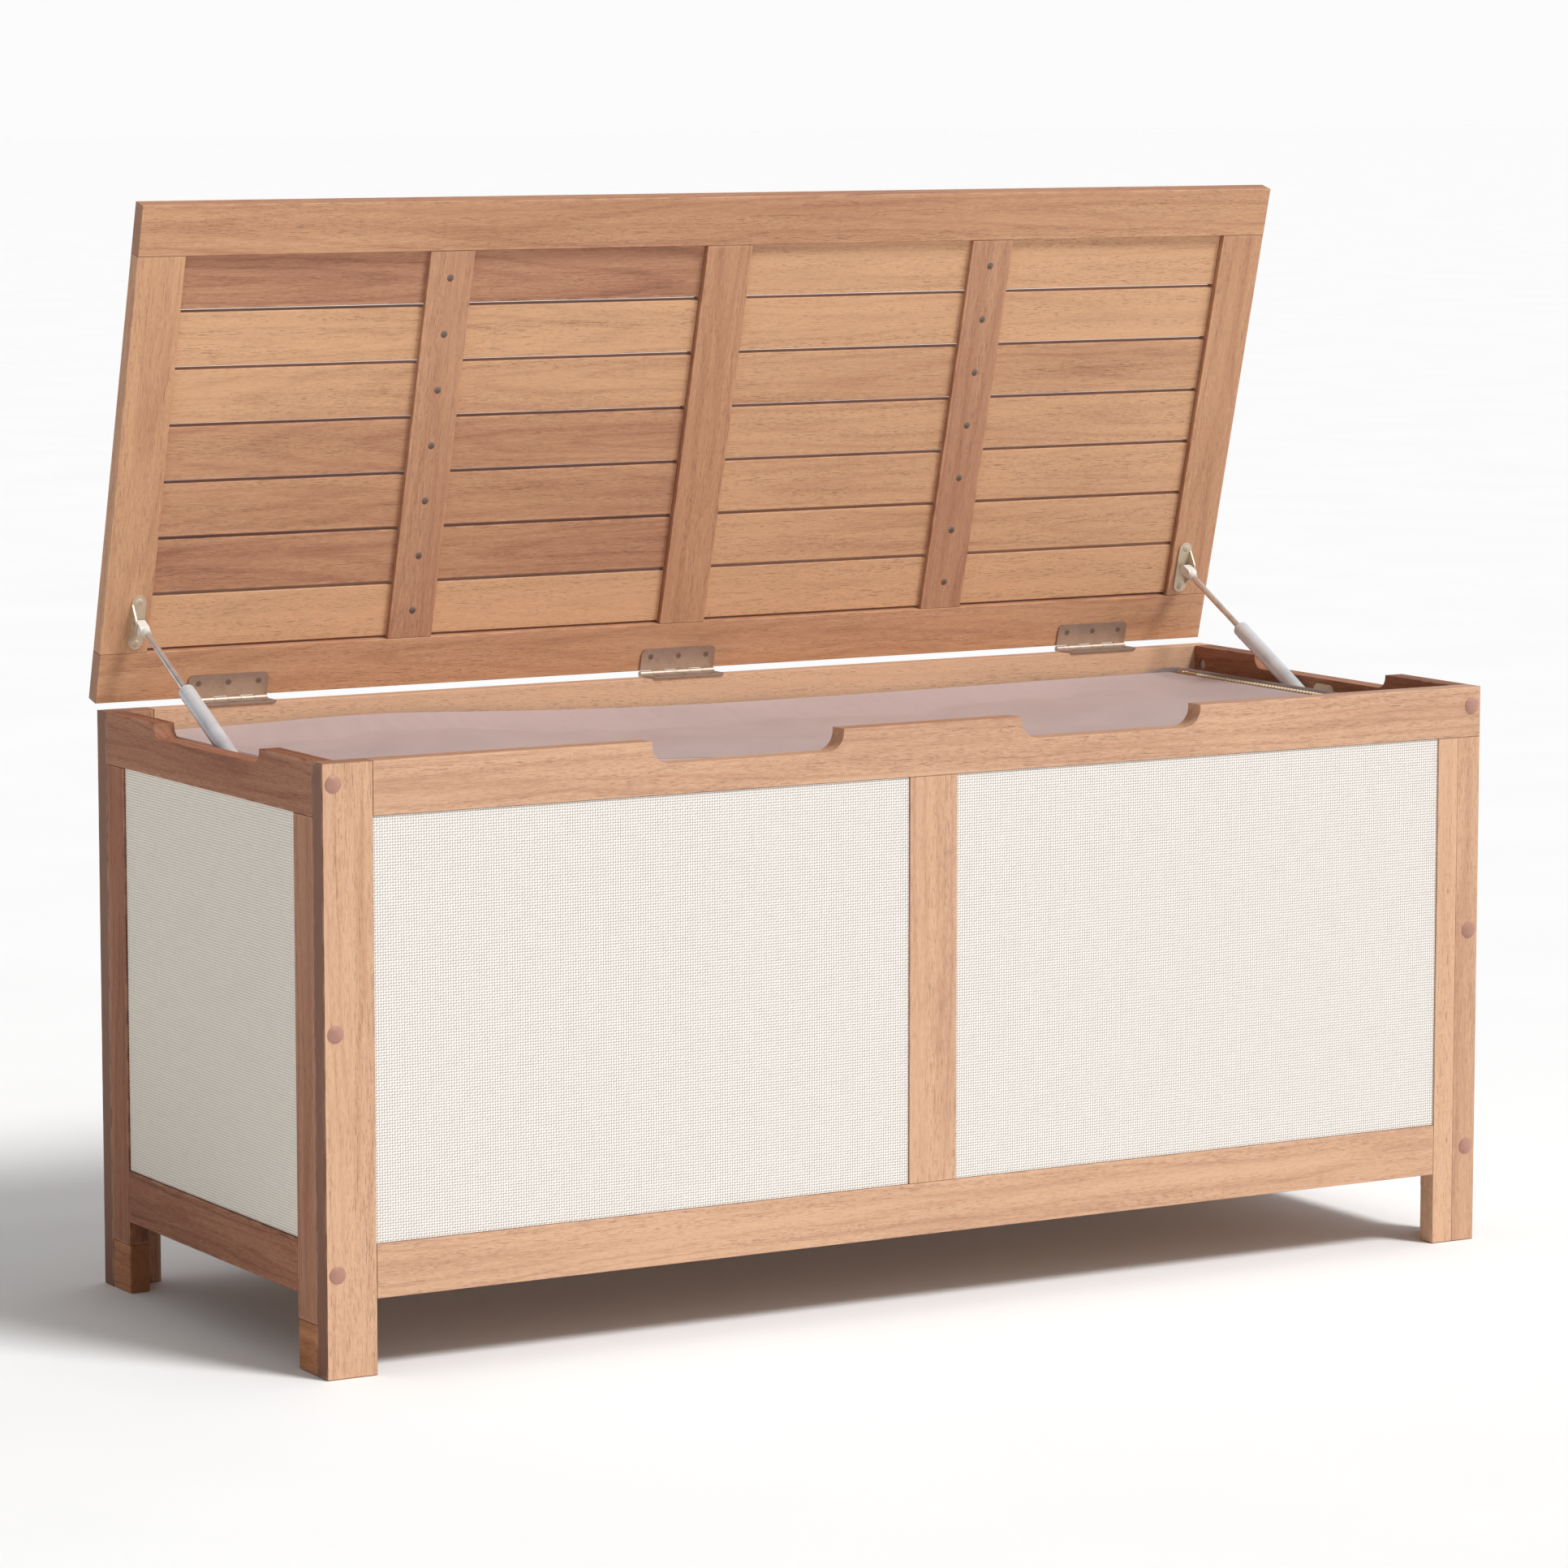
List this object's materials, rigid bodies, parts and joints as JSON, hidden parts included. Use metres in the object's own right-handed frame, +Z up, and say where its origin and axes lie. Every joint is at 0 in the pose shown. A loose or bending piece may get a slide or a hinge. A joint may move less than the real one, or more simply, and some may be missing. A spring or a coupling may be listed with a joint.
{
  "type": "storage bench",
  "caption": "Wooden storage bench with a slatted lid on butt hinges and gas struts, woven mesh panels and a zipped fabric liner bag.",
  "frame": {"origin": "on the floor under the middle of the bench's bounding box, lid open", "axes": "+X along the length, to the right seen from the front; +Y to the back; +Z up"},
  "size_m": [1.2, 0.4869, 0.9853],
  "materials": {
    "frame_wood": "oiled",
    "lid_wood": "oiled",
    "slat_wood": "oiled",
    "batten_wood": "oiled",
    "foot_wood": "oiled",
    "inner_wood": "oiled",
    "mesh": "woven mesh",
    "liner_fabric": "woven polyester",
    "zip_tape": "woven tape",
    "zip_metal": "satin",
    "cap_plastic": "satin",
    "hinge_metal": "bronze satin",
    "dark_screw": "black",
    "bracket_metal": "champagne satin",
    "strut_tube": "pale grey satin",
    "strut_rod": "polished",
    "strut_fitting": "moulded",
    "bolt_steel": "zinc plated"
  },
  "bodies": {
    "root": {"front_left_post": "frame_wood", "front_right_post": "frame_wood", "front_mullion": "frame_wood", "front_top_rail": "frame_wood", "front_bottom_rail": "frame_wood", "front_left_mesh": "mesh", "front_right_mesh": "mesh", "rear_left_post": "frame_wood", "rear_right_post": "frame_wood", "rear_mullion": "frame_wood", "rear_top_rail": "frame_wood", "rear_bottom_rail": "frame_wood", "rear_left_mesh": "mesh", "rear_right_mesh": "mesh", "left_top_rail": "frame_wood", "left_bottom_rail": "frame_wood", "left_front_stile": "frame_wood", "left_rear_stile": "frame_wood", "left_side_mesh": "mesh", "right_top_rail": "frame_wood", "right_bottom_rail": "frame_wood", "right_front_stile": "frame_wood", "right_rear_stile": "frame_wood", "right_side_mesh": "mesh", "mesh_strips": "inner_wood", "floor_bearers": "inner_wood", "floor_slats": "inner_wood", "foot_blocks": "foot_wood", "hinge_box_leaves": "hinge_metal", "hinge_pins": "hinge_metal", "hinge_box_screws": "hinge_metal", "strut_box_brackets": "bracket_metal", "strut_box_screws": "bracket_metal", "connector_bolts": "bolt_steel", "bolt_caps": "cap_plastic", "liner_bag": "liner_fabric", "liner_zip": "zip_tape"},
    "lid": {"lid_front_rail": "lid_wood", "lid_rear_rail": "lid_wood", "lid_left_stile": "lid_wood", "lid_right_stile": "lid_wood", "lid_mullion": "lid_wood", "lid_left_slats": "slat_wood", "lid_right_slats": "slat_wood", "lid_battens": "batten_wood", "batten_screws": "dark_screw", "hinge_lid_leaves": "hinge_metal", "hinge_lid_screws": "hinge_metal", "strut_lid_brackets": "bracket_metal", "strut_lid_screws": "bracket_metal"},
    "left_rod": {"left_rod_end": "strut_fitting", "left_strut_rod": "strut_rod"},
    "left_cylinder": {"left_strut_cylinder": "strut_tube", "left_cylinder_end": "strut_fitting"},
    "right_rod": {"right_rod_end": "strut_fitting", "right_strut_rod": "strut_rod"},
    "right_cylinder": {"right_strut_cylinder": "strut_tube", "right_cylinder_end": "strut_fitting"},
    "flap": {"liner_flap": "liner_fabric"},
    "zip_slider": {"zip_slider": "zip_metal"}
  },
  "joints": [
    {"name": "lid_hinge", "type": "hinge", "parent": "root", "child": "lid", "pos_m": [0, 0.22778, 0.528], "axis": [-1, 0, 0], "range_deg": [-75.16, 0]},
    {"name": "left_rod_pivot", "type": "hinge", "parent": "lid", "child": "left_rod", "pos_m": [-0.566, 0.20121, 0.60289], "axis": [-1, 0, 0], "range_deg": [0, 91.49]},
    {"name": "left_cylinder_slide", "type": "slide", "parent": "left_rod", "child": "left_cylinder", "axis": [0, -0.8849, -0.4659], "range_m": [-0.07806, 0]},
    {"name": "right_rod_pivot", "type": "hinge", "parent": "lid", "child": "right_rod", "pos_m": [0.566, 0.20121, 0.60289], "axis": [-1, 0, 0], "range_deg": [0, 91.49]},
    {"name": "right_cylinder_slide", "type": "slide", "parent": "right_rod", "child": "right_cylinder", "axis": [0, -0.8849, -0.4659], "range_m": [-0.07806, 0]},
    {"name": "liner_flap_fold", "type": "hinge", "parent": "root", "child": "flap", "pos_m": [0, 0.19608, 0.5014], "axis": [1, 0, 0], "range_deg": [0, 70]},
    {"name": "zip_slide", "type": "slide", "parent": "root", "child": "zip_slider", "axis": [0, -1, 0], "range_m": [0, 0.36]}
  ],
  "couplings": [
    {"joint": "left_rod_pivot", "follows": "lid_hinge", "ratio": -1.2146},
    {"joint": "left_cylinder_slide", "follows": "lid_hinge", "m_per_rad": 0.059278},
    {"joint": "right_rod_pivot", "follows": "lid_hinge", "ratio": -1.2146},
    {"joint": "right_cylinder_slide", "follows": "lid_hinge", "m_per_rad": 0.059278}
  ]
}
